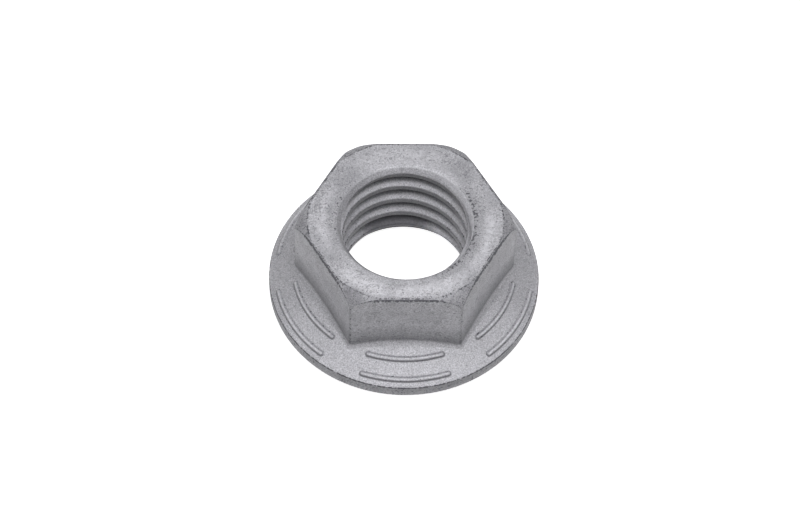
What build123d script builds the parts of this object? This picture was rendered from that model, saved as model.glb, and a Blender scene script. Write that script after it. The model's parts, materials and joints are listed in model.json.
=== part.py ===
from build123d import *
from math import cos, degrees, pi, radians, sin, sqrt, tan
import os

# Serrated hexagon flange nut with an M10 coarse thread, 13 mm across flats.
#
# One solid in one node. The origin is the centre of the bearing face, +Z runs along the thread
# axis towards the domed end, and one flat of the hexagon faces -Y. Lengths in millimetres,
# angles in degrees.

# ---- Driving dimensions ----------------------------------------------------------------
THREAD_DIAMETER = 10.0
THREAD_PITCH = 1.5

NUT_HEIGHT = 7.7
HEX_ACROSS_FLATS = 13.0
HEX_CORNER_RADIUS = 0.2
DOME_CIRCLE_DIAMETER = 13.2  # where the domed corners meet the top face
DOME_START_ANGLE = 20.0  # slope of the dome at that circle
DOME_RADIUS = 1.4  # in section
TOP_EDGE_RADIUS = 0.2

FLANGE_DIAMETER = 18.5
FLANGE_CONE_ANGLE = 30.0  # slope of the flange's upper side
RIM_BOTTOM = 0.3  # the rim stands clear of the bearing face
RIM_TOP = 1.2
RIM_CHAMFER = 0.1  # both edges
ROOT_FILLET_RADIUS = 0.4  # between the hexagon and the flange
RIM_OVERHANG = 0.95  # from the outer edge of the bearing face to the rim

TOP_COUNTERSINK_DIAMETER = 9.8
TOP_COUNTERSINK_ANGLE = 120.0  # included
BOTTOM_COUNTERSINK_DIAMETER = 9.75
BOTTOM_COUNTERSINK_ANGLE = 60.0

TOOTH_COUNT = 24
TOOTH_LAND_ANGLE = 3.0  # flat crest of each tooth
TOOTH_INNER_DIAMETER = 10.8
TOOTH_VALLEY_SLOPE = 0.026  # depth of a valley for each millimetre of radius

RIB_RIM_DISTANCES = (1.72, 0.53)  # from the rim in to each of the two arcs over every flat
RIB_ANGLE = 41.0  # from one rounded end to the other
RIB_WIDTH = 0.28
RIB_HEIGHT = 0.12

# ---- Worked out from them --------------------------------------------------------------
HEX_SIDES = 6
FLAT_ANGLES = [-90.0 + 360.0 / HEX_SIDES * flat for flat in range(HEX_SIDES)]
HEX_ACROSS_CORNERS = HEX_ACROSS_FLATS / cos(pi / HEX_SIDES)

# Basic minor diameter of an ISO metric thread: 5/8 of the height of its sharp triangle a side
MINOR_DIAMETER = THREAD_DIAMETER - 2 * 5 / 8 * sqrt(3) / 2 * THREAD_PITCH

FLANGE_RADIUS = FLANGE_DIAMETER / 2
CONE_SLOPE = tan(radians(FLANGE_CONE_ANGLE))
CLEARANCE = 1.0  # how far cutting tools and hidden ends run past the surfaces they meet


def cone_height(radius: float, lift: float = 0.0) -> float:
    """Height, at a radius, of the flange's conical upper side lifted along its normal."""
    return RIM_TOP + CONE_SLOPE * (FLANGE_RADIUS - radius) + lift / cos(radians(FLANGE_CONE_ANGLE))


def solid_of_revolution(*points: tuple[float, float]) -> Part:
    """Turn a closed outline of (radius, height) points once about the thread axis."""
    return revolve(Plane.XZ * make_face(Polyline(*points, close=True)), Axis.Z)


def dome() -> Part:
    """The turned blank whose domed shoulder rounds over the hexagon's top corners."""
    start = (DOME_CIRCLE_DIAMETER / 2, NUT_HEIGHT)
    heading = (cos(radians(DOME_START_ANGLE)), -sin(radians(DOME_START_ANGLE)))
    shoulder = JernArc(start, heading, DOME_RADIUS, DOME_START_ANGLE - 90)
    rest = Polyline(shoulder @ 1, ((shoulder @ 1).X, 0), (0, 0), (0, NUT_HEIGHT), shoulder @ 0)
    return revolve(Plane.XZ * make_face([shoulder, rest]), Axis.Z)


def hexagon() -> Part:
    """The wrenching hexagon, full height, with domed corners and softened top edges."""
    sketch = RegularPolygon(HEX_ACROSS_FLATS / 2, HEX_SIDES, major_radius=False)
    prism = extrude(sketch, NUT_HEIGHT)
    prism = fillet(prism.edges().filter_by(Axis.Z), HEX_CORNER_RADIUS)
    prism = prism & dome()
    top_face = prism.faces().sort_by(Axis.Z)[-1]
    return fillet(top_face.edges().filter_by(GeomType.LINE), TOP_EDGE_RADIUS)


def flange() -> Part:
    """The conical flange, with a bearing ring that stands proud of the rim."""
    hidden_radius = HEX_ACROSS_FLATS / 2 - CLEARANCE
    chamfered_radius = FLANGE_RADIUS - RIM_CHAMFER
    return solid_of_revolution(
        (0, 0),
        (FLANGE_RADIUS - RIM_OVERHANG, 0),
        (chamfered_radius, RIM_BOTTOM),
        (FLANGE_RADIUS, RIM_BOTTOM + RIM_CHAMFER),
        (FLANGE_RADIUS, RIM_TOP - RIM_CHAMFER),
        (chamfered_radius, cone_height(chamfered_radius)),
        (hidden_radius, cone_height(hidden_radius)),
        (0, cone_height(hidden_radius)),
    )


def root_edges(body: Part) -> ShapeList:
    """The chain of edges where the hexagon's sides run down into the flange's cone."""
    low = cone_height(HEX_ACROSS_CORNERS / 2) - ROOT_FILLET_RADIUS
    high = cone_height(HEX_ACROSS_FLATS / 2) + ROOT_FILLET_RADIUS
    return body.edges().filter_by(
        lambda edge: edge.bounding_box().min.Z > low and edge.bounding_box().max.Z < high
    )


def degrees_of_arc(length: float, radius: float) -> float:
    """The angle that a length subtends on a circle."""
    return degrees(length / radius)


def rib(radius: float) -> Part:
    """A raised arc on the flange, centred on +X, with rounded ends and a crest along the cone."""
    half_span = RIB_ANGLE / 2 - degrees_of_arc(RIB_WIDTH / 2, radius)
    outline = SlotArc(CenterArc((0, 0), radius, -half_span, 2 * half_span), RIB_WIDTH)

    inner = radius - RIB_WIDTH
    outer = radius + RIB_WIDTH
    band = solid_of_revolution(
        (inner, RIM_BOTTOM),
        (outer, RIM_BOTTOM),
        (outer, cone_height(outer, RIB_HEIGHT)),
        (inner, cone_height(inner, RIB_HEIGHT)),
    )
    return band & extrude(outline, NUT_HEIGHT)


def ribs() -> list[Part]:
    """Two concentric raised arcs over every flat of the hexagon."""
    radii = [FLANGE_RADIUS - distance for distance in RIB_RIM_DISTANCES]
    return [Rot(0, 0, angle) * rib(radius) for radius in radii for angle in FLAT_ANGLES]


def bore() -> Part:
    """The tapping hole at the thread's minor diameter, with a countersink at each end."""
    minor = MINOR_DIAMETER / 2
    bottom = BOTTOM_COUNTERSINK_DIAMETER / 2
    bottom_slope = tan(radians(BOTTOM_COUNTERSINK_ANGLE / 2))
    top = TOP_COUNTERSINK_DIAMETER / 2
    top_slope = tan(radians(TOP_COUNTERSINK_ANGLE / 2))
    return solid_of_revolution(
        (0, -CLEARANCE),
        (bottom + CLEARANCE * bottom_slope, -CLEARANCE),
        (minor, (bottom - minor) / bottom_slope),
        (minor, NUT_HEIGHT - (top - minor) / top_slope),
        (top + CLEARANCE * top_slope, NUT_HEIGHT + CLEARANCE),
        (0, NUT_HEIGHT + CLEARANCE),
    )


def tooth_space() -> Part:
    """The space between two ratchet teeth, with its steep side along +X.

    The ramp's plane holds two radial lines: the valley, which rises outwards along the foot of
    the steep side, and the edge of the next tooth's flat crest.
    """
    ramp_angle = radians(360 / TOOTH_COUNT - TOOTH_LAND_ANGLE)
    valley = Vector(1, 0, TOOTH_VALLEY_SLOPE)
    crest = Vector(cos(ramp_angle), sin(ramp_angle), 0)
    ramp = Plane((0, 0, 0), x_dir=crest, z_dir=valley.cross(crest))

    reach = FLANGE_RADIUS + CLEARANCE
    sector = make_face(Polyline((0, 0), (reach, 0), (reach, reach * tan(ramp_angle)), close=True))
    space = split(extrude(sector, CLEARANCE, both=True), ramp, keep=Keep.BOTTOM)
    return space - Cylinder(TOOTH_INNER_DIAMETER / 2, 3 * CLEARANCE)


def nut() -> Part:
    """The whole nut."""
    body = hexagon() + flange()
    body = fillet(root_edges(body), ROOT_FILLET_RADIUS)
    body += ribs()
    body -= bore()
    body -= [place * tooth_space() for place in PolarLocations(0, TOOTH_COUNT)]
    return body


flange_nut = nut()
flange_nut.label = "flange_nut"
os.makedirs("parts", exist_ok=True)
export_step(flange_nut, "parts/flange_nut.step")
print("volume mm3", round(flange_nut.volume, 2), "faces", len(flange_nut.faces()))
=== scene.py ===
"""Looks of a serrated hexagon flange nut in zinc-flake coated steel.

The nut is one closed skin: thread, countersinks, wrenching hexagon, conical flange with raised arcs, and
ratchet serrations underneath. Lengths are in millimetres until a mesh, lamp or camera is made, and angles are
in degrees about the thread axis, +Z, from +X. One flat of the hexagon faces -Y.
"""

import json
import logging
import math
from collections.abc import Callable
from dataclasses import dataclass
from enum import Enum
from functools import partial
from typing import Any, NamedTuple

import bmesh
import bpy
import numpy as np
from mathutils import Matrix, Vector


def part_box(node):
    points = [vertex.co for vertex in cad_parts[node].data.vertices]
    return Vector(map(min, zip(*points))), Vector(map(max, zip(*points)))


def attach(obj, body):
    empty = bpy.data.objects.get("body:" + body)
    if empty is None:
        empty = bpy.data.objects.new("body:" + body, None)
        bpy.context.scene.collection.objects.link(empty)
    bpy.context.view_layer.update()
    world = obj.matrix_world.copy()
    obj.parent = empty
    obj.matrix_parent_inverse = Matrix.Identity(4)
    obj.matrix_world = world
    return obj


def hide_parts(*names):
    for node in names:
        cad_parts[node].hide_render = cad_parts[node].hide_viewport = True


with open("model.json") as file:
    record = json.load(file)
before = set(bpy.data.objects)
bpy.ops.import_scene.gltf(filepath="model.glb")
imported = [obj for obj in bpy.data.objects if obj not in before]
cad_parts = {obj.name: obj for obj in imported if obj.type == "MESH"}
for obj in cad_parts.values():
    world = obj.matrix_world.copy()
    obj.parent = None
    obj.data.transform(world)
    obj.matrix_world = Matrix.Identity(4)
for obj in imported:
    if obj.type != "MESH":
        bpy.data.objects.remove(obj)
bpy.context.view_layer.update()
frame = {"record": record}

log = logging.getLogger("flange_nut")

Array = np.ndarray
Values = np.ndarray | float  # one for each column, or one for all of them
Pair = tuple[float, float]

MM = 0.001
NODE = "flange_nut"
BODY = "root"

SIDES = 6
SIDE_ANGLE = 360.0 / SIDES
HALF_SIDE = SIDE_ANGLE / 2
MERGE_DISTANCE = 0.0005  # points closer than this become one
SHARP_ANGLE = 50.0  # faces that meet at a greater angle are shaded with an edge between them
BISECTIONS = 40  # halvings in the search for a place on the dome


class Mark(Enum):
    """Names of the point attributes that tell the coating how it wore, and where light and shade are painted.
    """

    # worn edges; along the thread's crests, painted shadow lines
    EDGE = "edge"
    MOTTLE = "mottle"
    # paler scuffs and rubbing, and painted light on lit faces
    BURNISH_AND_LIGHT = "burnish_and_light"
    # thin, worn coat, and painted shade in grooves, creases and shaded sides
    THIN = "thin_and_shade"


# ---- Geometry helpers ----


def smooth_max(a: Array, b: Values, blend: Values) -> Array:
    """The larger of two values, with the change-over rounded.

    Args:
        a: First values.
        b: Second values.
        blend: Width of the rounded stretch, in the values' own unit.

    Returns:
        Values a little above the larger one where the two are close.
    """
    return 0.5 * (a + b + np.sqrt((a - b) ** 2 + blend**2))


def smooth_step(value: Array, start: float, end: float) -> Array:
    """A rise from 0 at start to 1 at end, level at both ends.

    Args:
        value: Values to map.
        start: Where the rise begins.
        end: Where it ends; below start for a fall.

    Returns:
        Shares between 0 and 1.
    """
    share = np.clip((value - start) / (end - start), 0.0, 1.0)
    return share * share * (3.0 - 2.0 * share)


def between(start: Values, end: Values, share: Values) -> Values:
    """The value that lies a share of the way from start to end."""
    return start + (end - start) * share


def cosine_of(angles: Values) -> Array:
    """Cosine of angles in degrees."""
    return np.cos(np.radians(angles))


def from_flat(angles: Array) -> Array:
    """Angle of each column from the middle of its nearest flat, 0 to 30 degrees."""
    return np.abs(angles % SIDE_ANGLE - HALF_SIDE)


def bisect(passes: Callable[[Array], Array], inside: Array, outside: Array) -> Array:
    """Finds, in each column, the last value that passes a test.

    Args:
        passes: Test of one value in each column.
        inside: Values that pass.
        outside: Values that don't.

    Returns:
        Values that pass and lie next to ones that don't.
    """
    for _ in range(BISECTIONS):
        halfway = (inside + outside) / 2
        passed = passes(halfway)
        inside, outside = np.where(passed, halfway, inside), np.where(passed, outside, halfway)
    return inside


@dataclass(frozen=True)
class Sector:
    """A stretch around the axis that one kind of wear, painted shade or painted light keeps to, fading out at
    both ends.
    """

    middle: float
    full: float  # half angle within which the wear is full
    none: float  # half angle at which it has faded out
    strength: float = 1.0
    both_sides: bool = False  # the opposite stretch is worn as well

    def at(self, angles: Array) -> Array:
        """How strong the wear, painted shade or painted light is in each column.

        Args:
            angles: Column angles.

        Returns:
            Values between 0 and the strength.
        """
        towards = cosine_of(angles - self.middle)
        if self.both_sides:
            towards = np.abs(towards)
        return self.strength * smooth_step(towards, cosine_of(self.none), cosine_of(self.full))


@dataclass(frozen=True)
class ScuffPatch:
    """A patch of the top face that rubbed against other nuts."""

    middle: float
    half_angle: float
    inner: float
    outer: float
    solid: float = 0.4  # share of the half angle that is fully scuffed

    def at(self, angles: Array, radius: float) -> Array:
        """How scuffed a circle of the top face is.

        Args:
            angles: Column angles.
            radius: Radius of the circle.

        Returns:
            Shares between 0 and 1, one for each column.
        """
        off_middle = np.abs((angles - self.middle + 180.0) % 360.0 - 180.0)
        across = abs(radius - (self.inner + self.outer) / 2) / (self.outer - self.inner) * 2
        around = smooth_step(off_middle, self.half_angle, self.solid * self.half_angle)
        return around * max(0.0, 1.0 - across**3)


# Where the coat is blotched around the mouth of the bore
MOUTH_BLOTCHES = (Sector(345.0, 36.9, 72.5), Sector(170.0, 25.8, 60.0, strength=0.8))


def blotched(angles: Array) -> Array:
    """How blotched the coat is beside the mouth of the bore in each column, 0 to 1."""
    return np.max([sector.at(angles) for sector in MOUTH_BLOTCHES], axis=0)


@dataclass
class Ring:
    """One closed row of points around the axis, with its wear marks and its painted light and shade.

    A radius, height or mark is either one value for the whole row or a value for each column.
    """

    radius: Values
    height: Values
    edge: Values = 0.0
    mottle: Values = 0.0
    # paler scuffs, and painted light
    burnish_and_light: Values = 0.0
    # thin coat, and painted shade
    thin_and_shade: Values = 0.0


def add_object(name: str, data: bpy.types.ID) -> bpy.types.Object:
    """Makes an object and links it to the scene.

    Args:
        name: Name of the object.
        data: Its mesh, lamp or camera.

    Returns:
        The new object.
    """
    made = bpy.data.objects.new(name, data)
    bpy.context.scene.collection.objects.link(made)
    return made


class Skin:
    """Collects rings of points and the faces between them into one mesh."""

    def __init__(self) -> None:
        """Starts with no points."""
        self.points: list[Array] = []
        self.marks: dict[Mark, list[Array]] = {mark: [] for mark in Mark}
        self.faces: list[tuple[int, ...]] = []
        self.count = 0

    def lay(self, angles: Array, rings: list[Ring]) -> list[Array]:
        """Adds the points of some rings.

        Args:
            angles: Column angles.
            rings: Rings with one point for each column.

        Returns:
            The point numbers of each ring.
        """
        turn = np.radians(angles)
        numbers = []
        for ring in rings:
            radius = np.broadcast_to(ring.radius, turn.shape)
            height = np.broadcast_to(ring.height, turn.shape)
            self.points.append(np.column_stack([radius * np.cos(turn), radius * np.sin(turn), height]))
            for mark in Mark:
                self.marks[mark].append(np.broadcast_to(getattr(ring, mark.value), turn.shape))
            numbers.append(np.arange(self.count, self.count + len(turn)))
            self.count += len(turn)
        return numbers

    def join(self, first: Array, second: Array) -> None:
        """Puts four-sided faces between two rings with the same columns."""
        quads = np.column_stack([first, np.roll(first, -1), np.roll(second, -1), second])
        self.faces.extend(map(tuple, quads.tolist()))

    def join_all(self, rings: list[Array]) -> None:
        """Joins each ring to the next."""
        for first, second in zip(rings, rings[1:]):
            self.join(first, second)

    def join_helix(self, rings: list[Array], shift: int) -> None:
        """Joins rings that climb as a screw, each ending a turn later on a higher one.

        Args:
            rings: Point numbers of the rings, from the lowest up.
            shift: How many rings higher a ring is after a full turn.
        """
        grid = np.array(rings)
        climbed = np.full((len(rings), 1), -1)
        climbed[:-shift, 0] = grid[shift:, 0]
        grid = np.hstack([grid, climbed])
        quads = np.stack([grid[:-1, :-1], grid[:-1, 1:], grid[1:, 1:], grid[1:, :-1]], axis=-1)
        quads = quads.reshape(-1, 4)
        whole = (quads >= 0).all(axis=1)
        self.faces.extend(map(tuple, quads[whole].tolist()))

    def stitch(self, first: Array, first_angles: Array, second: Array, second_angles: Array) -> None:
        """Puts triangles between two rings whose columns differ.

        Args:
            first: Point numbers of one ring.
            first_angles: Its column angles, ascending from 0.
            second: Point numbers of the other ring.
            second_angles: Its column angles, ascending from 0.
        """
        first_ends = np.append(first_angles[1:], [360.0, math.inf])
        second_ends = np.append(second_angles[1:], [360.0, math.inf])
        i = j = 0
        while i < len(first) or j < len(second):
            a, b = first[i % len(first)], second[j % len(second)]
            if first_ends[i] <= second_ends[j]:
                i += 1
                self.faces.append((a, first[i % len(first)], b))
            else:
                j += 1
                self.faces.append((a, second[j % len(second)], b))

    def build(self, name: str) -> bpy.types.Object:
        """Makes the object, with coinciding points merged and the faces turned outwards.

        Args:
            name: Name of the object and its mesh.

        Returns:
            The new object, linked to the scene.
        """
        mesh = bpy.data.meshes.new(name)
        mesh.from_pydata((np.vstack(self.points) * MM).tolist(), [], self.faces)
        for mark in Mark:
            layer = mesh.attributes.new(mark.value, "FLOAT", "POINT")
            layer.data.foreach_set("value", np.concatenate(self.marks[mark]).astype(np.float32))
        work = bmesh.new()
        work.from_mesh(mesh)
        bmesh.ops.remove_doubles(work, verts=work.verts, dist=MERGE_DISTANCE * MM)
        bmesh.ops.dissolve_degenerate(work, edges=work.edges, dist=MERGE_DISTANCE * MM)
        bmesh.ops.recalc_face_normals(work, faces=work.faces)
        work.to_mesh(mesh)
        work.free()
        mesh.shade_smooth()
        mesh.set_sharp_from_angle(angle=math.radians(SHARP_ANGLE))
        return add_object(name, mesh)


# ---- The nut's surfaces ----


class DomePoint(NamedTuple):
    """Points of the dome's section, one for each column, with balls that lie against them from inside.

    Each distance is measured from the axis, square to the nearest side of the hexagon.
    """

    out: Array
    height: Array
    ball_out: Array
    ball_height: Array
    normal: Array  # elevation of the dome's normal in the column's plane, in radians


@dataclass(frozen=True)
class HexagonWearAndShade:
    """How the coating lies and wore on the hexagon, and where shade and light are painted on it."""

    top_mottle: float = 0.8
    top_behind: Sector = Sector(90.0, 120.0, 154.2, strength=0.08)  # darker all but at the front
    top_rear: Sector = Sector(90.0, 25.8, 78.5, strength=0.07)  # darker still at the rear
    scuffs: tuple[ScuffPatch, ...] = (
        ScuffPatch(92.0, 42.0, 5.0, 6.2),
        ScuffPatch(240.0, 26.0, 5.1, 6.5),
        ScuffPatch(285.0, 40.0, 5.2, 6.3),
        ScuffPatch(345.0, 30.0, 5.3, 6.2),
        ScuffPatch(180.0, 35.0, 5.2, 6.0),
    )
    blotch_rings: tuple[float, ...] = (1.0, 0.6, 0.15, 0.0, 0.0)  # each circle's share, from the mouth out
    blotch_edge: float = 0.37
    blotch_thin: float = 0.12
    outline_darkening: float = 0.05  # along the outline of the top face

    upper_edge: Pair = (0.7, 0.6)  # on the rounding between the top face and a dome: beside and at a corner
    upper_thin: Pair = (0.14, 0.44)  # at the top face and at the dome
    dome_edge: float = 0.48
    # painted shade on the sloping corner domes
    dome_shade: float = 0.35

    lower_edge: Pair = (1.05, 0.77)  # on the rounding above a flat: at its middle and towards the corners
    lower_edge_change: Pair = (14.0, 24.0)  # angles off a flat between which one turns to the other
    lower_edge_lost: float = 0.5  # by the foot of the rounding
    lower_mottle: Pair = (0.6, 0.3)  # at the dome and at the flat
    lower_thin: float = 0.6  # in the line where the rounding is worn most
    lower_thin_line: float = 0.3  # share of the way down to that line
    lower_thin_fall: float = 1.6  # how fast it fades from there

    corner_line: Pair = (28.8, 29.7)  # angles off a flat: the worn line down each corner
    corner_edge: float = 0.58
    corner_thin: float = 0.25
    flat_top_mottle: float = 0.7
    flat_mottle: float = 0.6
    # down a flat: share of the way, painted light that lightens its upper part, and painted shade that
    # darkens it towards the root fillet
    flat_rows: tuple[tuple[float, float, float], ...] = (
        (0.35, 0.3, 0.0),
        (0.6, 0.3, 0.0),
        (0.85, 0.1, 0.27),
        (1.0, 0.0, 0.5),
    )


@dataclass
class Hexagon:
    """The wrenching hexagon: top face, domed corners and six flats.

    Each radial section is worked out in a plane square to the nearest side, where a length is the radius
    times the cosine of the slant between the radius and that side's normal.
    """

    height: float
    across_flats: float = 13.0
    corner_radius: float = 0.2
    dome_circle_radius: float = 6.6
    dome_start: float = 20.0  # slope of the dome where it leaves the top face
    dome_radius: float = 1.4
    edge_radius: float = 0.2  # along the middle of each flat
    corner_edge_radius: float = 0.09  # along the foot of each dome
    edge_change: Pair = (20.0, 28.0)  # angles off a flat between which one turns to the other
    guard: float = 0.07  # width of the strips that keep the flat faces flat beside a rounding
    top_margin: float = 0.35  # from the outermost circle of the top face to the flats
    # rings over each rounded stretch: first and last share of the way, and how many
    upper_shares: tuple[float, float, int] = (0.0, 1.0, 4)
    dome_shares: tuple[float, float, int] = (0.1, 1.0, 9)
    lower_shares: tuple[float, float, int] = (0.15, 1.0, 6)
    wear_and_shade: HexagonWearAndShade = HexagonWearAndShade()

    def top_rings(self, angles: Array, start: float) -> list[Ring]:
        """Lays circles on the flat of the top face.

        Args:
            angles: Column angles.
            start: Radius of the innermost circle.

        Returns:
            Rings from that circle outwards.
        """
        wear_and_shade = self.wear_and_shade
        thin_and_shade = wear_and_shade.top_behind.at(angles) + wear_and_shade.top_rear.at(angles)
        radii = np.linspace(start, self.across_flats / 2 - self.top_margin, len(wear_and_shade.blotch_rings))
        rings = []
        for radius, share in zip(radii, wear_and_shade.blotch_rings):
            blotches = share * blotched(angles)
            scuffed = np.max([patch.at(angles, radius) for patch in wear_and_shade.scuffs], axis=0)
            edge, darkened = wear_and_shade.blotch_edge * blotches, thin_and_shade + wear_and_shade.blotch_thin * blotches
            rings.append(Ring(radius, self.height, edge, wear_and_shade.top_mottle, scuffed, darkened))
        return rings

    def wall(self, angles: Array) -> tuple[Array, Array]:
        """Places the upright sides.

        Args:
            angles: Column angles.

        Returns:
            The radius and the cosine of the slant for each column.
        """
        apothem = self.across_flats / 2
        half_side = math.radians(HALF_SIDE)
        off_flat = np.radians(from_flat(angles))
        off_corner = half_side - off_flat
        centre = (apothem - self.corner_radius) / math.cos(half_side)
        reach = np.maximum(self.corner_radius**2 - (centre * np.sin(off_corner)) ** 2, 0.0)
        rounded = centre * np.cos(off_corner) + np.sqrt(reach)
        on_flat = apothem * np.tan(off_flat) <= (apothem - self.corner_radius) * math.tan(half_side)
        lean = np.arcsin(np.clip(rounded * np.sin(off_corner) / self.corner_radius, -1.0, 1.0)) - off_corner
        radius = np.where(on_flat, apothem / np.cos(off_flat), rounded)
        slant = np.where(on_flat, off_flat, lean)
        return radius, np.cos(slant)

    def on_dome(self, turn: Array, cosine: Array, ball: Array) -> DomePoint:
        """Finds a place on the dome in each column.

        Args:
            turn: The place, as the elevation of the turned dome's own normal in radians.
            cosine: Cosine of each column's slant.
            ball: Radius of the ball in each column.

        Returns:
            The place and the ball against it.
        """
        start = math.radians(90.0 - self.dome_start)
        middle = self.dome_circle_radius - self.dome_radius * math.cos(start)
        level = self.height - self.dome_radius * math.sin(start)
        out = (middle + self.dome_radius * np.cos(turn)) * cosine
        height = level + self.dome_radius * np.sin(turn)
        normal = np.arctan2(np.sin(turn) * cosine, np.cos(turn))
        return DomePoint(out, height, out - ball * np.cos(normal), height - ball * np.sin(normal), normal)

    def on_corner(self, angles: Array) -> Array:
        """Share of the worn line that runs down each upright corner."""
        return smooth_step(from_flat(angles), *self.wear_and_shade.corner_line)

    def top_edge(self, angles: Array) -> list[Ring]:
        """Rounds the top face's edge and the corner domes.

        A ball rolls under the top face and along the dome, and another beside the flat. A column has a dome
        where the first ball lies further in than the second; otherwise both are one.

        Args:
            angles: Column angles.

        Returns:
            Rings from the top face over the edge and the domes to the flats.
        """
        radius, cosine = self.wall(angles)
        near_corner = smooth_step(from_flat(angles), *self.edge_change)
        ball = between(self.edge_radius, self.corner_edge_radius, near_corner)
        side = radius * cosine - ball
        under_top = self.height - ball

        start = np.full_like(radius, math.radians(90.0 - self.dome_start))
        foot = np.zeros_like(start)
        begin = bisect(lambda turn: self.on_dome(turn, cosine, ball).ball_height > under_top, start, foot)
        begin = np.where(self.on_dome(start, cosine, ball).ball_height > under_top, begin, start)
        end = bisect(lambda turn: self.on_dome(turn, cosine, ball).ball_out < side, begin, foot)
        first = self.on_dome(begin, cosine, ball)
        domed = first.ball_out < side
        end = np.where(domed, end, begin)
        last = self.on_dome(end, cosine, ball)
        upper = np.where(domed, first.ball_out, side)
        lower = np.where(domed, last.ball_height, under_top)
        last_normal = np.where(domed, last.normal, first.normal)

        wear_and_shade = self.wear_and_shade
        on_corner = self.on_corner(angles)
        outline = (upper - self.guard) / cosine
        rings = [Ring(outline, self.height, mottle=wear_and_shade.top_mottle, thin_and_shade=wear_and_shade.outline_darkening)]
        edge = between(*wear_and_shade.upper_edge, on_corner)
        for share in np.linspace(*self.upper_shares):
            turn = between(math.pi / 2, first.normal, share)
            out, level = upper + ball * np.cos(turn), under_top + ball * np.sin(turn)
            rings.append(Ring(out / cosine, level, edge, mottle=1.0, thin_and_shade=between(*wear_and_shade.upper_thin, share)))
        # The domes carry painted shade
        for share in np.linspace(*self.dome_shares):
            point = self.on_dome(between(begin, end, share), cosine, ball)
            out = np.where(domed, point.out, upper + ball * np.cos(first.normal))
            level = np.where(domed, point.height, under_top + ball * np.sin(first.normal))
            rings.append(Ring(out / cosine, level, wear_and_shade.dome_edge, mottle=1.0, thin_and_shade=wear_and_shade.dome_shade))
        most = between(*wear_and_shade.lower_edge, smooth_step(from_flat(angles), *wear_and_shade.lower_edge_change))
        for share in np.linspace(*self.lower_shares):
            turn = last_normal * (1.0 - share)
            out, level = side + ball * np.cos(turn), lower + ball * np.sin(turn)
            edge = most * (1.0 - wear_and_shade.lower_edge_lost * share**2)
            off_line = abs(share - wear_and_shade.lower_thin_line)
            thin_and_shade = wear_and_shade.lower_thin * max(0.0, 1.0 - wear_and_shade.lower_thin_fall * off_line)
            rings.append(Ring(out / cosine, level, edge, between(*wear_and_shade.lower_mottle, share), thin_and_shade=thin_and_shade))
        corner_edge, corner_thin = wear_and_shade.corner_edge * on_corner, wear_and_shade.corner_thin * on_corner
        rings.append(Ring(radius, lower - self.guard, corner_edge, wear_and_shade.flat_top_mottle, thin_and_shade=corner_thin))
        return rings

    def flats(self, angles: Array, top: Array, bottom: Array) -> list[Ring]:
        """Lays rings down the upright sides.

        Args:
            angles: Column angles.
            top: Height of each column just under the top edge.
            bottom: Height of each column where the root fillet begins.

        Returns:
            Rings between the two, the lowest a guard strip above the fillet.
        """
        wear_and_shade = self.wear_and_shade
        radius, _ = self.wall(angles)
        on_corner = self.on_corner(angles)
        edge, corner_thin = wear_and_shade.corner_edge * on_corner, wear_and_shade.corner_thin * on_corner
        rings = []
        # Painted light on the upper flat and painted shade towards the root fillet, with the worn corners
        for share, burnish_and_light, thin_and_shade in wear_and_shade.flat_rows:
            height = between(top, bottom + self.guard, share)
            rings.append(Ring(radius, height, edge, wear_and_shade.flat_mottle, burnish_and_light, thin_and_shade + corner_thin))
        return rings


@dataclass(frozen=True)
class FlangeWearAndShade:
    """How the coating lies and wore on the flange, and where shade and light are painted on it."""

    root_mottle: float = 0.2
    root_shade: Pair = (0.27, 0.1)  # painted shade along both edges of the root fillet and in its hollow
    cone_mottle: float = 0.15
    foot_shade: float = 0.15  # painted shade on the cone beside the root fillet
    sides: Sector = Sector(0.0, 14.1, 31.8, strength=0.16, both_sides=True)  # painted shade on the cone's left and right sides

    ahead: Sector = Sector(270.0, 18.2, 53.1)
    outline: Pair = (0.08, 0.03)  # off an arc's outline: where its wear starts and is full
    outline_edge: float = 0.56
    outline_darkening: Pair = (0.36, 0.42)  # worn coat and painted shade along an arc's foot, elsewhere and ahead
    outer_darkening: Pair = (0.2, 0.3)  # worn coat and painted shade added on an arc's outer side, elsewhere and ahead
    outer_change: float = 0.1  # half width over which inner turns to outer
    crest: Pair = (0.65, 0.2)  # shares of an arc's half width: where rubbing starts and is full
    crest_rub_and_highlight: Pair = (1.0, 0.4)  # rubbing and a painted highlight on an arc's crest, elsewhere and ahead

    rim_edge: Pair = (0.4, 0.95)  # at both ends of the rim's rounding and in its middle
    rim_mottle: float = 0.5
    rim_thin: float = 0.35  # at the band
    band_edge: float = 0.5
    band_thin: float = 0.34


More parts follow.
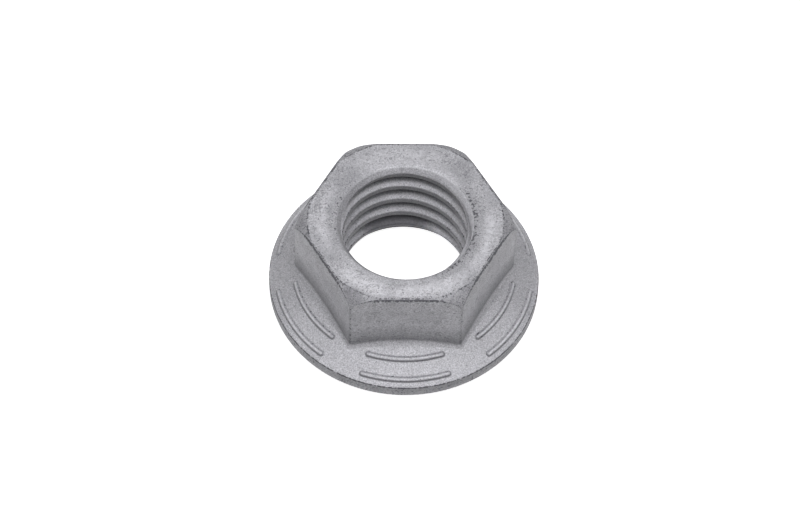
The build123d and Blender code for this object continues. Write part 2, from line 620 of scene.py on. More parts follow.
@dataclass
class Flange:
    """The conical flange: root fillet, raised arcs and rounded rim."""

    radius: float
    cone_angle: float = 30.0
    rim_top: float = 1.2
    rim_edge_radius: float = 0.15
    rim_rows: int = 7
    band_guard: float = 0.06  # width of the strip that keeps the band flat beside the rounding
    band_middle: float = 0.8  # height of the last ring
    root_radius: float = 0.4
    root_rows: int = 9
    root_margin: float = 0.03  # from the root fillet to the nearest ring of an arc
    root_shares: Pair = (0.2, 0.6)  # rings between them
    arc_radii: Pair = (7.53, 8.72)
    arc_span: float = 41.0
    arc_width: float = 0.28
    arc_height: float = 0.12
    arc_foot: float = 0.06  # how far the foot of an arc runs out into the cone
    arc_crest: float = 0.3  # share of the half width where the arc reaches its height
    arc_rings: tuple[float, ...] = (0.035, 0.07, 0.105, 0.14, 0.175, 0.22)  # to each side of the middle
    even_to: float = 7.17  # innermost ring that is a plain circle beside the inner arcs
    even_from: float = 7.95  # rings outside this radius are plain circles
    between_arcs: float = 8.25  # radius of a plain circle there
    beside_rim: float = 9.06  # radius of the outermost plain circle
    wear_and_shade: FlangeWearAndShade = FlangeWearAndShade()

    def cone(self, radius: Values) -> Values:
        """Height of the bare cone at a radius."""
        return self.rim_top + math.tan(math.radians(self.cone_angle)) * (self.radius - radius)

    def root(self, angles: Array, hexagon: Hexagon) -> list[Ring]:
        """Fills the corner between the hexagon's sides and the cone.

        Args:
            angles: Column angles.
            hexagon: The hexagon that stands on the flange.

        Returns:
            Rings of the fillet, from the sides down and outwards.
        """
        radius, cosine = hexagon.wall(angles)
        slope = math.tan(math.radians(self.cone_angle)) / cosine
        centre = radius * cosine + self.root_radius
        middle = self.cone(centre / cosine) + self.root_radius * np.sqrt(1.0 + slope**2)
        sweep = math.pi / 2 - np.arctan(slope)
        rings = []
        for share in np.linspace(0.0, 1.0, self.root_rows):
            turn = math.pi + sweep * share
            out, level = centre + self.root_radius * np.cos(turn), middle + self.root_radius * np.sin(turn)
            # Painted shade along the fillet, most at its edges
            thin_and_shade = between(*self.wear_and_shade.root_shade, math.sin(math.pi * share))
            rings.append(Ring(out / cosine, level, mottle=self.wear_and_shade.root_mottle, thin_and_shade=thin_and_shade))
        return rings

    def arcs(self, angles: Array, radius: Array) -> tuple[Array, ...]:
        """Raises the arcs over some points of the cone, darkened along their outlines by wear and painted
        shade, and lightened on top by rubbing and a painted highlight.

        Args:
            angles: Column angles.
            radius: Radius of the ring at each column.

        Returns:
            How far each point is raised along the cone's normal, its edge mark, its burnish and painted
            light, and its thin coat and painted shade.
        """
        wear_and_shade = self.wear_and_shade
        ahead = wear_and_shade.ahead.at(angles)
        lift, edge, burnish_and_light, thin_and_shade = (np.zeros_like(radius) for _ in range(4))
        half_width = self.arc_width / 2
        for arc_radius in self.arc_radii:
            half_span = math.radians(self.arc_span / 2) - half_width / arc_radius
            past_end = np.maximum(np.radians(from_flat(angles)) - half_span, 0.0) * arc_radius
            distance = np.hypot(radius - arc_radius, past_end)
            share = smooth_step(distance, half_width + self.arc_foot / 2, half_width * self.arc_crest)
            lift = np.maximum(lift, self.arc_height * share)
            outline = smooth_step(np.abs(distance - half_width), *wear_and_shade.outline)
            edge = np.maximum(edge, wear_and_shade.outline_edge * outline)
            outside = smooth_step(radius - arc_radius, -wear_and_shade.outer_change, wear_and_shade.outer_change)
            # Worn coat and painted shade along the outline
            darkened = between(*wear_and_shade.outline_darkening, ahead) + between(*wear_and_shade.outer_darkening, ahead) * outside
            thin_and_shade = np.maximum(thin_and_shade, outline * darkened)
            # Rubbing and a painted highlight on the crest
            rubbed_and_lit = smooth_step(distance / half_width, *wear_and_shade.crest)
            burnish_and_light = np.maximum(burnish_and_light, between(*wear_and_shade.crest_rub_and_highlight, ahead) * rubbed_and_lit)
        return lift, edge, burnish_and_light, thin_and_shade

    def cone_rings(self, angles: Array, foot: Array) -> list[Ring]:
        """Lays rings over the cone and its raised arcs, from the root fillet outwards.

        Rings that meet the corners' root fillet are squeezed together there.

        Args:
            angles: Column angles.
            foot: Radius at which the root fillet ends, for each column.

        Returns:
            Rings up to a guard strip beside the rim's rounding.
        """
        first = np.maximum(self.even_to, foot + self.root_margin)
        squeeze = (self.even_from - first) / (self.even_from - self.even_to)
        half = np.array(self.arc_rings)
        across = np.concatenate([-half[::-1], [0.0], half])
        inner, outer = self.arc_radii
        nominal = [self.even_to, *(inner + across), self.even_from]
        nominal += [self.between_arcs, *(outer + across), self.beside_rim]
        radii = [between(foot, first, share) for share in self.root_shares]
        for value in nominal:
            inside = self.even_from - (self.even_from - value) * squeeze
            radii.append(inside if value < self.even_from else np.full_like(foot, value))

        wear_and_shade = self.wear_and_shade
        # Painted shade on the cone's left and right sides, and beside the root fillet on the first ring
        sides = wear_and_shade.sides.at(angles)
        normal = math.radians(self.cone_angle)
        rings = []
        for number, radius in enumerate(radii):
            lift, edge, burnish_and_light, thin_and_shade = self.arcs(angles, radius)
            thin_and_shade = np.maximum(thin_and_shade, wear_and_shade.foot_shade * (number == 0) + sides)
            raised = radius + lift * math.sin(normal)
            height = self.cone(radius) + lift * math.cos(normal)
            rings.append(Ring(raised, height, edge, wear_and_shade.cone_mottle, burnish_and_light, thin_and_shade))
        return rings

    def rim(self) -> list[Ring]:
        """Rounds the rim's upper edge.

        Returns:
            Rings over the rounding and down to the middle of the rim's band.
        """
        wear_and_shade = self.wear_and_shade
        tilt = math.radians(90.0 - self.cone_angle)
        ball = self.rim_edge_radius
        centre = self.radius - ball
        middle = self.cone(centre) - ball / math.cos(math.radians(self.cone_angle))
        rings = []
        for share in np.linspace(0.0, 1.0, self.rim_rows):
            turn = tilt * (1.0 - share)
            out, level = centre + ball * math.cos(turn), middle + ball * math.sin(turn)
            edge = between(*wear_and_shade.rim_edge, math.sin(math.pi * share))
            rings.append(Ring(out, level, edge, wear_and_shade.rim_mottle, thin_and_shade=wear_and_shade.rim_thin * share))
        for level in (middle - self.band_guard, self.band_middle):
            rings.append(Ring(self.radius, level, wear_and_shade.band_edge, 1.0, thin_and_shade=wear_and_shade.band_thin))
        return rings


@dataclass
class BearingFace:
    """The underside: a bevel inside the rim and a ring of radial ratchet teeth."""

    rim_radius: float
    outer_radius: float = 8.3
    inner_radius: float = 5.4
    bevel_radius: float = 9.15
    bevel_height: float = 0.3
    rim_edge_radius: float = 0.15
    rim_rows: int = 6
    band_guard: float = 0.05  # width of the strip that keeps the rim's band flat beside the rounding
    band_foot: float = 0.62  # height of the first ring
    tooth_count: int = 24
    land_angle: float = 3.0
    valley_slope: float = 0.026  # depth of a valley for each millimetre of radius
    break_angle: float = 0.15  # the steep side leans by this much
    ramp_columns: int = 7
    bevel_shares: tuple[float, ...] = (0.12, 0.5, 0.9)  # rings over the bevel
    tooth_shares: tuple[float, ...] = (0.0, 0.06, 0.35, 0.7, 1.0)  # rings along the teeth, inwards
    inner_step: float = 0.02  # to each side of the teeth's inner end
    inner_plain: float = 0.12  # from the teeth's inner end to a plain ring
    mottle: float = 0.3
    tooth_edge: float = 0.3  # wear at both ends of the teeth

    def columns(self) -> Array:
        """Places the columns at the foot, ramp and land of every tooth.

        Returns:
            Column angles, ascending from 0.
        """
        pitch = 360.0 / self.tooth_count
        ramp = np.linspace(0.0, pitch - self.land_angle, self.ramp_columns)
        one = np.append(ramp, [pitch - self.land_angle / 2, pitch - self.break_angle])
        return np.concatenate([one + pitch * tooth for tooth in range(self.tooth_count)])

    def rings(self, angles: Array) -> list[Ring]:
        """Lays rings from the rim's band inwards over the bevel and the teeth.

        Args:
            angles: Column angles.

        Returns:
            Rings up to a plain one inside the teeth.
        """
        ball = self.rim_edge_radius
        slope = self.bevel_height / (self.bevel_radius - self.outer_radius)
        centre = self.rim_radius - ball
        middle = slope * (centre - self.outer_radius) + ball * math.sqrt(1.0 + slope**2)
        sweep = math.pi / 2 - math.atan(slope)
        rings = [
            Ring(self.rim_radius, self.band_foot, edge=0.45, mottle=1.0, thin_and_shade=0.2),
            Ring(self.rim_radius, middle + self.band_guard, edge=0.3, mottle=1.0, thin_and_shade=0.3),
        ]
        for share in np.linspace(0.0, 1.0, self.rim_rows):
            turn = -sweep * share
            out, level = centre + ball * math.cos(turn), middle + ball * math.sin(turn)
            rings.append(Ring(out, level, edge=0.5, mottle=0.6))

        pitch = 360.0 / self.tooth_count
        ramp = math.radians(pitch - self.land_angle)
        up_ramp = np.clip(np.sin(ramp - np.radians(angles % pitch)) / math.sin(ramp), 0.0, 1.0)
        rise = self.valley_slope * up_ramp
        run_out = self.outer_radius * slope / (slope - rise)
        for share in self.bevel_shares:
            radius = between(self.bevel_radius, run_out, share)
            rings.append(Ring(radius, slope * (radius - self.outer_radius), mottle=self.mottle))
        start = self.inner_radius + self.inner_step
        for share in self.tooth_shares:
            radius = between(run_out, start, share)
            rings.append(Ring(radius, rise * radius, self.tooth_edge * (share == 0.0), self.mottle))
        rings.append(Ring(self.inner_radius - self.inner_step, 0.0, self.tooth_edge, self.mottle))
        rings.append(Ring(self.inner_radius - self.inner_plain, 0.0, mottle=self.mottle))
        return rings


@dataclass(frozen=True)
class BoreWearAndShade:
    """How the coating lies and wore in the bore, and where shade and light are painted into it.

    A pair of numbers is where a mark starts and where it is full: depths below the top face unless the
    comment says otherwise.
    """

    mottle: float = 0.3
    behind: Sector = Sector(90.0, 41.4, 90.0)
    sides: Sector = Sector(0.0, 36.9, 66.4, both_sides=True)
    below_mouth: Pair = (0.35, 0.45)
    crest_line: Pair = (0.07, 0.02)  # distance along the axis from either edge of a crest
    crest_shadow: Pair = (0.5, 0.7)  # painted shadow lines along the crests' edges, broken like worn edges; elsewhere and at the sides
    crest_fade: float = 0.03  # half width of a crest's border, along the axis
    crest_shade: Pair = (0.12, 0.6)  # painted shade on the crests; elsewhere and behind
    groove: Pair = (0.12, 0.35)  # distance along the axis from the edge of a crest
    groove_depth: Pair = (0.65, 0.85)
    groove_shade: Pair = (0.3, 0.75)  # painted shade deep in the grooves; elsewhere and behind
    flank_middle: float = 0.1  # along the axis from the edge of a crest
    flank: Pair = (0.16, 0.06)  # distance along the axis from there
    flank_light: Pair = (0.65, 0.45)  # painted light on the upward flanks; elsewhere and behind
    top_turn: Pair = (2.1, 1.7)
    top_turn_light: float = 0.35  # painted light added there, on the uppermost flanks
    low: Pair = (2.4, 2.0)  # heights; painted shade on the last turns at the rear
    low_shade: Sector = Sector(98.0, 18.2, 41.4, strength=0.85)
    foot: Pair = (1.1, 0.6)  # heights; painted shade on the lower countersink
    foot_shade: float = 0.3

    lip: Pair = (0.09, 0.03)  # the blotched edge of the mouth
    lip_edge: float = 0.7
    lip_thin: float = 0.3
    # Around the mouth: painted shade on its left, front and rear, and painted light on its right
    mouth: Pair = (0.0, 0.15)
    mouth_shade_left: Sector = Sector(180.0, 25.8, 72.5, strength=0.22)
    mouth_shade_ahead: Sector = Sector(265.0, 25.8, 78.5, strength=0.24)
    mouth_shade_behind: float = 0.08
    mouth_light: Sector = Sector(0.0, 25.8, 72.5, strength=0.9)


@dataclass
class ThreadedBore:
    """The right-hand coarse thread with a countersink at each end."""

    height: float
    minor_radius: float
    major_radius: float = 5.0
    pitch: float = 1.5
    flank_angle: float = 60.0  # between a flank and the axis
    crest_height: float = 0.7375  # middle of a crest at angle 0
    run_out: Pair = (0.08, 0.5)  # depths between which the last groove opens
    mouth_radius: float = 4.8  # where the upper countersink leaves the top face
    mouth_slope: float = 50.0  # down from the top face
    mouth_rounding: float = 0.3  # where it leaves the top face
    mouth_offset: float = 0.15  # how far it lies off the axis, as pressed
    mouth_offset_angle: float = 260.0
    mouth_blend: float = 0.04  # how far it is rounded into the thread
    mouth_blend_depth: float = 0.2  # where that rounding is full
    mouth_depth: float = 0.42  # depth of the level rings below the top face
    mouth_rows: int = 16
    bottom_radius: float = 4.875
    bottom_angle: float = 60.0
    bottom_edge_radius: float = 0.08
    coating_blend: float = 0.05  # how far the coating rounds the crests of the thread
    root_blend: float = 0.1  # and the bottoms of its grooves
    rows_per_pitch: int = 28
    end_rows: int = 3  # beyond the climb, so that every column reaches both ends
    column_count: int = 252
    guard_radius: float = 5.22  # plain circle on each end face, outside every groove
    wear_and_shade: BoreWearAndShade = BoreWearAndShade()

    def columns(self) -> Array:
        """Column angles, evenly spaced from 0."""
        return np.arange(self.column_count) * (360.0 / self.column_count)

    def turns(self, angles: Array, height: Array) -> Array:
        """How many turns of the thread each point lies above the first crest."""
        return (height - self.crest_height) / self.pitch - angles / 360.0

    def off_crest(self, angles: Array, height: Array) -> Array:
        """Distance along the axis from the edge of the nearest crest, below 0 on the crest."""
        turns = self.turns(angles, height)
        return np.abs(turns - np.round(turns)) * self.pitch - self.pitch / 8

    def wall(self, angles: Array, height: Array) -> Array:
        """Places the wall of the bore, thread and countersinks together.

        Args:
            angles: Column angles.
            height: Height of the point in each column.

        Returns:
            The radius of the wall at each point.
        """
        flank = self.off_crest(angles, height) * math.tan(math.radians(self.flank_angle))
        depth = smooth_max(flank, 0.0, self.coating_blend)
        full = self.major_radius - self.minor_radius
        depth = full - smooth_max(full - depth, 0.0, self.root_blend)
        # Height of the middle of the groove that each point is in, in turns above the first crest
        groove_turns = np.floor(self.turns(angles, height)) + 0.5 + angles / 360.0
        groove_drop = self.height - self.crest_height - groove_turns * self.pitch
        depth = depth * smooth_step(groove_drop, *self.run_out)

        bottom_cone = self.bottom_radius - height * math.tan(math.radians(self.bottom_angle / 2))
        radius = smooth_max(self.minor_radius + depth, bottom_cone, self.coating_blend)
        ball = self.bottom_edge_radius
        radius = radius + ball - np.sqrt(ball**2 - np.clip(ball - height, 0.0, ball) ** 2)

        slope = math.radians(self.mouth_slope)
        drop = self.height - height
        turn = np.arccos(np.clip(1.0 - drop / self.mouth_rounding, math.cos(slope), 1.0))
        past = np.maximum(drop - self.mouth_rounding * (1.0 - math.cos(slope)), 0.0)
        leaves = self.mouth_radius + self.mouth_offset * cosine_of(angles - self.mouth_offset_angle)
        mouth = leaves - self.mouth_rounding * np.sin(turn) - past / math.tan(slope)
        share = smooth_step(drop, 0.0, self.mouth_blend_depth)
        return np.where(share > 0.0, smooth_max(radius, mouth, self.mouth_blend * share), mouth)

    def marked(self, angles: Array, height: Array) -> Ring:
        """Makes a ring of the bore, worn at the lip of the mouth, with painted shadow lines along the crests'
        edges, painted shade on the crests, in the grooves, on the last turns, on the lower countersink and
        around the mouth, and painted light on the flanks and the mouth's right side.

        Args:
            angles: Column angles.
            height: Height of the point in each column.

        Returns:
            The ring.
        """
        wear_and_shade = self.wear_and_shade
        drop = self.height - height
        off_crest = self.off_crest(angles, height)
        behind = wear_and_shade.behind.at(angles)
        below_mouth = smooth_step(drop, *wear_and_shade.below_mouth)
        in_mouth = 1.0 - below_mouth
        lip = smooth_step(drop, *wear_and_shade.lip) * blotched(angles)

        # Painted shadow lines along the crests' edges
        shadow_line = smooth_step(np.abs(off_crest), *wear_and_shade.crest_line) * below_mouth
        shadow_line = shadow_line * between(*wear_and_shade.crest_shadow, wear_and_shade.sides.at(angles))
        # Painted shade on the crests and deep in the grooves, most behind
        crest = smooth_step(off_crest, wear_and_shade.crest_fade, -wear_and_shade.crest_fade) * below_mouth
        crest = crest * between(*wear_and_shade.crest_shade, behind)
        groove = smooth_step(off_crest, *wear_and_shade.groove) * smooth_step(drop, *wear_and_shade.groove_depth)
        groove = groove * below_mouth * between(*wear_and_shade.groove_shade, behind)
        # Painted shade on the last turns at the rear, on the lower countersink and around the mouth
        low = wear_and_shade.low_shade.at(angles) * smooth_step(height, *wear_and_shade.low)
        foot = wear_and_shade.foot_shade * smooth_step(height, *wear_and_shade.foot)
        mouth = wear_and_shade.mouth_shade_left.at(angles) + wear_and_shade.mouth_shade_ahead.at(angles)
        mouth = (mouth + wear_and_shade.mouth_shade_behind * behind) * in_mouth * smooth_step(drop, *wear_and_shade.mouth)

        # Painted light on the upward flanks and on the mouth's right side
        flank = smooth_step(np.abs(off_crest - wear_and_shade.flank_middle), *wear_and_shade.flank) * below_mouth
        rubbed_and_lit = between(*wear_and_shade.flank_light, behind)
        rubbed_and_lit = rubbed_and_lit + wear_and_shade.top_turn_light * smooth_step(drop, *wear_and_shade.top_turn)
        lit_mouth = wear_and_shade.mouth_light.at(angles) * in_mouth * (1.0 - lip)

        edge = np.maximum(shadow_line, wear_and_shade.lip_edge * lip)
        burnish_and_light = np.maximum(flank * rubbed_and_lit, lit_mouth)
        thin_and_shade = np.max([crest, groove, low, foot, mouth, wear_and_shade.lip_thin * lip], axis=0)
        return Ring(self.wall(angles, height), height, edge, wear_and_shade.mottle, burnish_and_light, thin_and_shade)

    def thread_rings(self, angles: Array) -> list[Ring]:
        """Lays rings that climb with the thread.

        Args:
            angles: Column angles.

        Returns:
            Rings cut off level at the bearing face and below the upper countersink.
        """
        step = self.pitch / self.rows_per_pitch
        top = self.height - self.mouth_depth
        count = math.ceil((top + self.pitch) / step) + self.end_rows
        rings = []
        for row in range(count):
            level = -self.pitch - step + row * step + self.pitch * angles / 360.0
            rings.append(self.marked(angles, np.clip(level, 0.0, top)))
        return rings

    def mouth_rings(self, angles: Array) -> list[Ring]:
        """Lays level rings up the rounded countersink.

        Args:
            angles: Column angles.

        Returns:
            Rings from the thread's last one to the top face.
        """
        slope = math.radians(self.mouth_slope)
        rounded = self.mouth_rounding * (1.0 - math.cos(slope))
        half_rows = self.mouth_rows // 2
        drops = list(np.linspace(self.mouth_depth, rounded, half_rows + 1)[1:])
        for share in np.linspace(1.0, 0.0, half_rows + 1)[1:]:
            drops.append(self.mouth_rounding * (1.0 - math.cos(slope * share)))
        return [self.marked(angles, np.full_like(angles, self.height - drop)) for drop in drops]


# ---- Finish ----


def linear(hex_colour: str) -> tuple[float, float, float, float]:
    """Turns an sRGB colour written as RRGGBB into the linear values that a shader takes.

    Args:
        hex_colour: Six hexadecimal digits.

    Returns:
        Red, green, blue and alpha.
    """
    channels = [int(hex_colour[i : i + 2], 16) / 255.0 for i in (0, 2, 4)]
    red, green, blue = (c / 12.92 if c <= 0.04045 else ((c + 0.055) / 1.055) ** 2.4 for c in channels)
    return red, green, blue, 1.0


def add_node(
    tree: bpy.types.NodeTree, kind: str, inputs: dict[Any, Any] | tuple[Any, ...] = (), **settings: Any
) -> bpy.types.Node:
    """Adds one node with its settings and links.

    Args:
        tree: The node tree.
        kind: Blender's type name of the node.
        inputs: What goes to the input sockets, in their order or by name or number: a value, an output
            socket, or a node for its first output.
        settings: Properties of the node.

    Returns:
        The new node.
    """
    node = tree.nodes.new(kind)
    for name, value in settings.items():
        setattr(node, name, value)
    for key, value in inputs.items() if isinstance(inputs, dict) else enumerate(inputs):
        if isinstance(value, bpy.types.Node):
            value = value.outputs[0]
        if isinstance(value, bpy.types.NodeSocket):
            tree.links.new(value, node.inputs[key])
        else:
            node.inputs[key].default_value = value
    return node


ATTRIBUTE = "ShaderNodeAttribute"
MAP_RANGE = "ShaderNodeMapRange"
MATH = "ShaderNodeMath"
MIX_SHARE, MIX_LOWER, MIX_UPPER, MIX_RESULT = 0, 6, 7, 2  # sockets of a Mix node that mixes colours


class Pattern(NamedTuple):
    """The size of an irregular pattern's features in millimetres, and how many finer layers it has."""

    size: float
    detail: float


class Ramp(NamedTuple):
    """A straight rise of one value with another, held beyond its ends, in a Map Range node's order."""

    start: float
    end: float
    low: float = 0.0
    high: float = 1.0


@dataclass(frozen=True)
class ZincFlakeCoating:
    """Baked zinc-flake coating, dip-spun on cold-formed steel.

    It gives a matt, silvery grey with a fine grain of flakes, soft clouds and dark specks where the coat is
    thin, paler scuffs where parts rubbed together, and broken dark lines where it wore off the edges. Its
    pale scuff colour is also painted light on lit faces, and its dark worn colour is also painted shade in
    grooves, creases and shaded sides, with painted shadow lines along the thread's crests.
    """

    name: str = "zinc_flake_coating"
    coat: str = "DCDCDF"
    thin_coat: str = "98989B"
    cloud: str = "8C8C90"
    # dark colour of worn edges, also painted shade
    speck: str = "77777B"
    worn_edge_and_shade: str = "4E4E52"
    # pale colour of scuffs, also painted light
    burnished_and_lit: str = "E8E8EB"
    metallic: float = 0.15
    roughness: float = 0.55

    grain: Pattern = Pattern(0.042, 2.0)  # flakes are 0.01 to 0.02 mm, drawn coarser so that they show
    specks: Pattern = Pattern(0.08, 2.0)  # pores are about 0.03 mm, drawn coarser so that they show
    clouds: Pattern = Pattern(0.9, 3.0)
    scuffs: Pattern = Pattern(0.13, 3.0)
    patches: Pattern = Pattern(0.4, 4.0)  # where scuffs and crinkles gather
    breaks: Pattern = Pattern(0.09, 5.0)  # chips along the worn edges

    grain_ramp: Ramp = Ramp(0.27, 0.73)
    cloud_ramp: Ramp = Ramp(0.45, 0.62, high=0.42)
    scuff_ramp: Ramp = Ramp(0.45, 0.58, 0.3, 0.65)
    patch_ramp: Ramp = Ramp(0.53, 0.58, 0.2, 0.6)
    crinkle_level: float = 0.5  # of the scuffs' pattern, which a crinkle follows
    crinkle_ramp: Ramp = Ramp(0.01, 0.05, 1.0, 0.0)  # by how far the pattern is off that level
    crinkle_patch_ramp: Ramp = Ramp(0.5, 0.6)
    crinkle_mottle_ramp: Ramp = Ramp(0.2, 0.8, 0.2, 0.7)
    speck_level_ramp: Ramp = Ramp(0.0, 1.0, 0.29, 0.4)  # by the mottle mark
    speck_ramp: Ramp = Ramp(0.0, 0.04, high=0.75)  # by how far the pattern is below that level
    thin_power_ramp: Ramp = Ramp(0.3, 0.7, 1.25, 0.8)
    reach_ramp: Ramp = Ramp(0.3, 0.7, 0.3, 1.0)  # the edge mark at which a chip opens
    chip_ramp: Ramp = Ramp(-0.05, 0.15, high=0.95)

    bump_height: float = 0.006  # mm; the coat is about 0.01 mm thick
    scuff_relief: float = 6.0  # times the grain's
    crinkle_relief: float = -2.0  # times the grain's

    def make(self) -> bpy.types.Material:
        """Makes the material with its node tree.

        Returns:
            The material, which reads the point attributes named by Mark.
        """
        material = bpy.data.materials.new(self.name)
        material.use_nodes = True
        tree = material.node_tree
        shader = tree.nodes["Principled BSDF"]
        add = partial(add_node, tree)
        place = add("ShaderNodeTexCoord").outputs["Object"]
        edge, mottle, burnish_and_light, thin_and_shade = (
            add(ATTRIBUTE, attribute_name=mark.value).outputs["Fac"] for mark in Mark
        )
        noises = []
        for pattern in (self.grain, self.specks, self.clouds, self.scuffs, self.patches, self.breaks):
            # A cell of the noise is two features wide
            scale = 1.0 / (2.0 * pattern.size * MM)
            inputs = {"Vector": place, "Scale": scale, "Detail": pattern.detail}
            noises.append(add("ShaderNodeTexNoise", inputs, noise_dimensions="3D"))
        grain, specks, clouds, scuffs, patches, breaks = noises

        grained = add(MAP_RANGE, (grain, *self.grain_ramp))

        cloudy = add(MAP_RANGE, (clouds, *self.cloud_ramp))
        cloudy = add(MATH, (cloudy, mottle), operation="MULTIPLY")

        flaked = add(MAP_RANGE, (scuffs, *self.scuff_ramp))
        gathered = add(MAP_RANGE, (patches, *self.patch_ramp))
        flaked = add(MATH, (flaked, gathered), operation="MAXIMUM")
        # scuffs and rubbing, and painted light
        rubbed_and_lit = add(MATH, (flaked, burnish_and_light), operation="MULTIPLY")

        off_level = add(MATH, (scuffs, self.crinkle_level), operation="SUBTRACT")
        off_level = add(MATH, (off_level,), operation="ABSOLUTE")
        crinkled = add(MAP_RANGE, (off_level, *self.crinkle_ramp))
        for value, ramp in ((patches, self.crinkle_patch_ramp), (mottle, self.crinkle_mottle_ramp)):
            share = add(MAP_RANGE, (value, *ramp))
            crinkled = add(MATH, (crinkled, share), operation="MULTIPLY")

        specked = add(MAP_RANGE, (mottle, *self.speck_level_ramp))
        specked = add(MATH, (specked, specks), operation="SUBTRACT")
        specked = add(MAP_RANGE, (specked, *self.speck_ramp))

        # thin coat and chipped edges, with the painted shade and painted shadow lines that these marks carry
        power = add(MAP_RANGE, (breaks, *self.thin_power_ramp))
        thinned_and_shaded = add(MATH, (thin_and_shade, power), operation="POWER")
        chipped_and_shaded = add(MAP_RANGE, (breaks, *self.reach_ramp))
        chipped_and_shaded = add(MATH, (edge, chipped_and_shaded), operation="SUBTRACT")
        chipped_and_shaded = add(MAP_RANGE, (chipped_and_shaded, *self.chip_ramp))
        worn_and_shaded = add(MATH, (thinned_and_shaded, chipped_and_shaded), operation="MAXIMUM")

        colour = linear(self.thin_coat)
        for share, layer in (
            (grained, self.coat),
            (cloudy, self.cloud),
            (rubbed_and_lit, self.burnished_and_lit),
            (crinkled, self.speck),
            (specked, self.speck),
            (worn_and_shaded, self.worn_edge_and_shade),
        ):
            inputs = {MIX_SHARE: share, MIX_LOWER: colour, MIX_UPPER: linear(layer)}
            colour = add("ShaderNodeMix", inputs, data_type="RGBA").outputs[MIX_RESULT]

        relief = add(MATH, (rubbed_and_lit, self.scuff_relief, grain), operation="MULTIPLY_ADD")
        relief = add(MATH, (crinkled, self.crinkle_relief, relief), operation="MULTIPLY_ADD")
        bump = add("ShaderNodeBump", {"Distance": self.bump_height * MM, "Height": relief})
        tree.links.new(colour, shader.inputs["Base Color"])
        tree.links.new(bump.outputs["Normal"], shader.inputs["Normal"])
        shader.inputs["Metallic"].default_value = self.metallic
        shader.inputs["Roughness"].default_value = self.roughness
        return material


# ---- The piece ----


@dataclass
class FlangeNut:
    """The whole nut as one skin."""

    height: float
    flange_radius: float
    minor_radius: float
    finish: ZincFlakeCoating = ZincFlakeCoating()
    # how finely the outside is cut up: from the middle of a flat, up to an angle in steps of an angle
    column_steps: tuple[Pair, ...] = (
        (14.0, 2.0),
        (18.6, 1.15),
        (21.0, 0.15),
        (28.0, 1.0),
        (29.0, 0.25),
        (30.0, 0.125),
    )

    def outside_columns(self) -> Array:
        """Places the columns of the outside, close together at the arcs' ends and the hexagon's corners.

        Returns:
            Column angles, ascending from 0.
        """
        half = [np.zeros(1)]
        start = 0.0
        for end, step in self.column_steps:
            half.append(np.linspace(start, end, round((end - start) / step) + 1)[1:])
            start = end
        side = np.concatenate(half)
        sector = np.concatenate([-side[::-1], side[1:-1]])
        return np.concatenate([sector + HALF_SIDE + SIDE_ANGLE * flat for flat in range(SIDES)])

    def build(self) -> bpy.types.Object:
        """Makes the skin, dresses it and ties it to the frame.

        Returns:
            The nut.
        """
        hexagon = Hexagon(self.height)
        flange = Flange(self.flange_radius)
        bearing = BearingFace(self.flange_radius)
        bore = ThreadedBore(self.height, self.minor_radius)
        skin = Skin()

        outside = self.outside_columns()
        top = hexagon.top_edge(outside)
        root = flange.root(outside, hexagon)
        sides = hexagon.flats(outside, top[-1].height, root[0].height)
        cone = flange.cone_rings(outside, root[-1].radius)
        upper = skin.lay(outside, top + sides + root + cone + flange.rim())
        skin.join_all(upper)

        teeth = bearing.columns()
        under = skin.lay(teeth, bearing.rings(teeth))
        skin.join_all(under)
        skin.stitch(upper[-1], outside, under[0], teeth)

        turns = bore.columns()
        thread = skin.lay(turns, bore.thread_rings(turns))
        skin.join_helix(thread, bore.rows_per_pitch)
        mouth = skin.lay(turns, bore.mouth_rings(turns) + hexagon.top_rings(turns, bore.guard_radius))
        skin.join_all([thread[-1]] + mouth)
        skin.stitch(mouth[-1], turns, upper[0], outside)
        below = skin.lay(turns, [Ring(bore.guard_radius, 0.0, mottle=bearing.mottle)])[0]
        skin.join(below, thread[0])
        skin.stitch(under[-1], teeth, below, turns)

        piece = skin.build("nut_body")
        piece.data.materials.append(self.finish.make())
        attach(piece, BODY)
        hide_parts(NODE)
        return piece


# ---- Studio ----


def direction(azimuth: float, elevation: float) -> Vector:
    """Points from the nut towards a viewer or lamp.

    Args:
        azimuth: Degrees round from -Y, positive towards +X.
        elevation: Degrees above the horizon.

    Returns:
        The unit vector in the nut's frame.
    """
    turn, rise = math.radians(azimuth), math.radians(elevation)
    return Vector((math.sin(turn) * math.cos(rise), -math.cos(turn) * math.cos(rise), math.sin(rise)))


@dataclass(frozen=True)
class SoftLamp:
    """A large round soft lamp, placed by its direction from the nut."""

    name: str
    azimuth: float
    elevation: float
    power: float  # watts
    size: float = 500.0
    distance: float = 600.0
    colour: str = "FCFBFF"

    def build(self) -> bpy.types.Object:
        """Makes the lamp, facing the nut.

        Returns:
            The lamp, linked to the scene.
        """
        lamp = bpy.data.lights.new(self.name, "AREA")
        lamp.shape = "DISK"
        lamp.size = self.size * MM
        lamp.energy = self.power
        lamp.color = linear(self.colour)[:3]
        holder = add_object(self.name, lamp)
        away = direction(self.azimuth, self.elevation)
        holder.location = away * (self.distance * MM)
        holder.rotation_euler = (-away).to_track_quat("-Z", "Y").to_euler()
        return holder


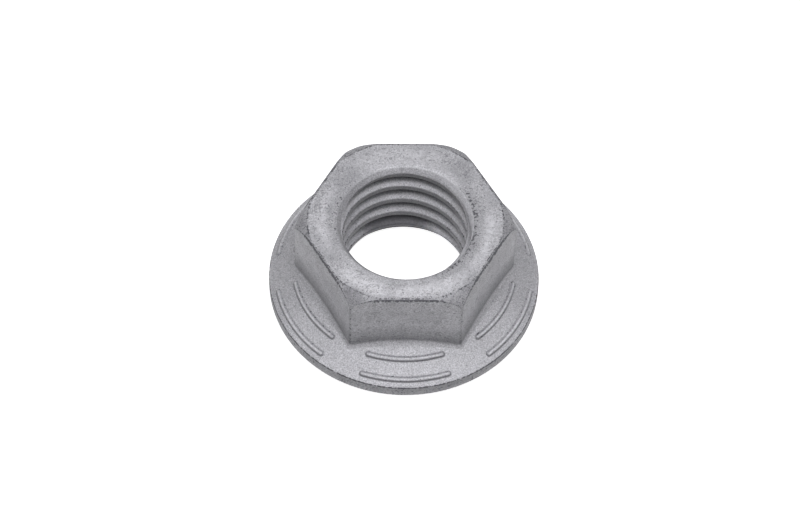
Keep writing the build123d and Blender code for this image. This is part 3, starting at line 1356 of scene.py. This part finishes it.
@dataclass
class Studio:
    """A white floor under large soft lamps, with a pale surround."""

    floor_size: float = 3000.0
    floor_gap: float = 0.01  # keeps the floor and the bearing face from sharing one plane
    floor_colour: str = "C8C8C8"
    seen_floor: float = 0.92  # share of white that the floor shows even in shadow
    surround_colour: str = "FFFFFF"
    surround_strength: float = 0.02
    lamps: tuple[SoftLamp, ...] = (
        SoftLamp("overhead_lamp", 0.0, 90.0, 1.15),
        SoftLamp("front_lamp", 0.0, 68.0, 0.55, size=300.0),
        SoftLamp("left_lamp", -60.0, 65.0, 0.7, size=400.0),
        SoftLamp("right_lamp", 60.0, 65.0, 0.75, size=400.0),
    )

    def seen_directly(self, tree: bpy.types.NodeTree) -> bpy.types.NodeSocket:
        """Tells the rays that show the floor or the surround itself from those that light the nut.

        Args:
            tree: The node tree of the floor or the surround.

        Returns:
            A socket that is 1 for rays from the camera, off glossy surfaces and through clear ones.
        """
        path = add_node(tree, "ShaderNodeLightPath").outputs
        total = path["Is Camera Ray"]
        for name in ("Is Glossy Ray", "Is Transmission Ray"):
            total = add_node(tree, MATH, (total, path[name]), operation="ADD", use_clamp=True).outputs[0]
        return total

    def build_floor(self) -> bpy.types.Object:
        """Makes the floor: lit paper that the camera sees as nearly white, with a soft shadow left on it.

        Returns:
            The floor, linked to the scene.
        """
        half = self.floor_size / 2 * MM
        low = -self.floor_gap * MM
        mesh = bpy.data.meshes.new("studio_floor")
        corners = [(-half, -half, low), (half, -half, low), (half, half, low), (-half, half, low)]
        mesh.from_pydata(corners, [], [(0, 1, 2, 3)])
        floor = add_object("studio_floor", mesh)
        material = bpy.data.materials.new("white_paper")
        material.use_nodes = True
        tree = material.node_tree
        tree.nodes.clear()
        add = partial(add_node, tree)
        paper = add("ShaderNodeBsdfDiffuse", {"Color": linear(self.floor_colour)})
        glow = add("ShaderNodeEmission", {"Strength": self.seen_floor})
        both = add("ShaderNodeAddShader", (paper, glow))
        mix = add("ShaderNodeMixShader", (self.seen_directly(tree), paper, both))
        add("ShaderNodeOutputMaterial", {"Surface": mix})
        floor.data.materials.append(material)
        return floor

    def build_surround(self) -> bpy.types.World:
        """Makes the surround: it fills the shadows a little from all sides, and shows white behind the floor.

        Returns:
            The world, set as the scene's.
        """
        world = bpy.data.worlds.new("studio_surround")
        world.use_nodes = True
        bpy.context.scene.world = world
        tree = world.node_tree
        ramp = Ramp(0.0, 1.0, low=self.surround_strength)
        strength = add_node(tree, MAP_RANGE, (self.seen_directly(tree), *ramp))
        background = tree.nodes["Background"]
        tree.links.new(strength.outputs[0], background.inputs["Strength"])
        background.inputs["Color"].default_value = linear(self.surround_colour)
        return world

    def build(self) -> list[Any]:
        """Makes the floor, the surround and the lamps, and returns them."""
        return [self.build_floor(), self.build_surround(), *(lamp.build() for lamp in self.lamps)]


@dataclass
class Viewpoint:
    """A long lens that looks down on the nut from the front."""

    azimuth: float = -1.849
    elevation: float = 55.534
    roll: float = 1.656
    distance: float = 275.1
    sideways: float = -0.290  # shift along the width of the picture
    upwards: float = 1.130  # shift along its height
    aim_height: float = 0.3  # of the place on the axis that is looked at before the shifts
    lens: float = 180.0
    sensor: float = 36.0

    def build(self) -> bpy.types.Object:
        """Makes the camera.

        Returns:
            The camera, set as the scene's.
        """
        back = direction(self.azimuth, self.elevation)
        right = Vector((math.cos(math.radians(self.azimuth)), math.sin(math.radians(self.azimuth)), 0.0))
        up = back.cross(right)
        aim = Vector((0.0, 0.0, self.aim_height))
        place = back * self.distance + right * self.sideways + up * self.upwards + aim
        axes = Matrix((right, up, back)).transposed() @ Matrix.Rotation(math.radians(self.roll), 3, "Z")
        lens = bpy.data.cameras.new("camera")
        lens.lens = self.lens
        lens.sensor_width = self.sensor
        camera = add_object("camera", lens)
        camera.matrix_world = Matrix.Translation(place * MM) @ axes.to_4x4()
        bpy.context.scene.camera = camera
        return camera


def main() -> None:
    logging.basicConfig(level=logging.INFO, format="%(name)s: %(message)s")
    bpy.context.scene.view_settings.view_transform = "Standard"
    camera = Viewpoint().build()
    log.info("%s: %.0f mm lens", camera.name, camera.data.lens)
    for part in Studio().build():
        log.info("%s", part.name)
    _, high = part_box(NODE)
    thread = next(mount for mount in frame["record"]["mounts"] if mount["name"] == "thread")
    nut = FlangeNut(high.z / MM, high.x / MM, thread["dims"]["r_mm"]).build()
    log.info("%s: %d points, %d faces", nut.name, len(nut.data.vertices), len(nut.data.polygons))


if __name__ == "__main__":
    main()
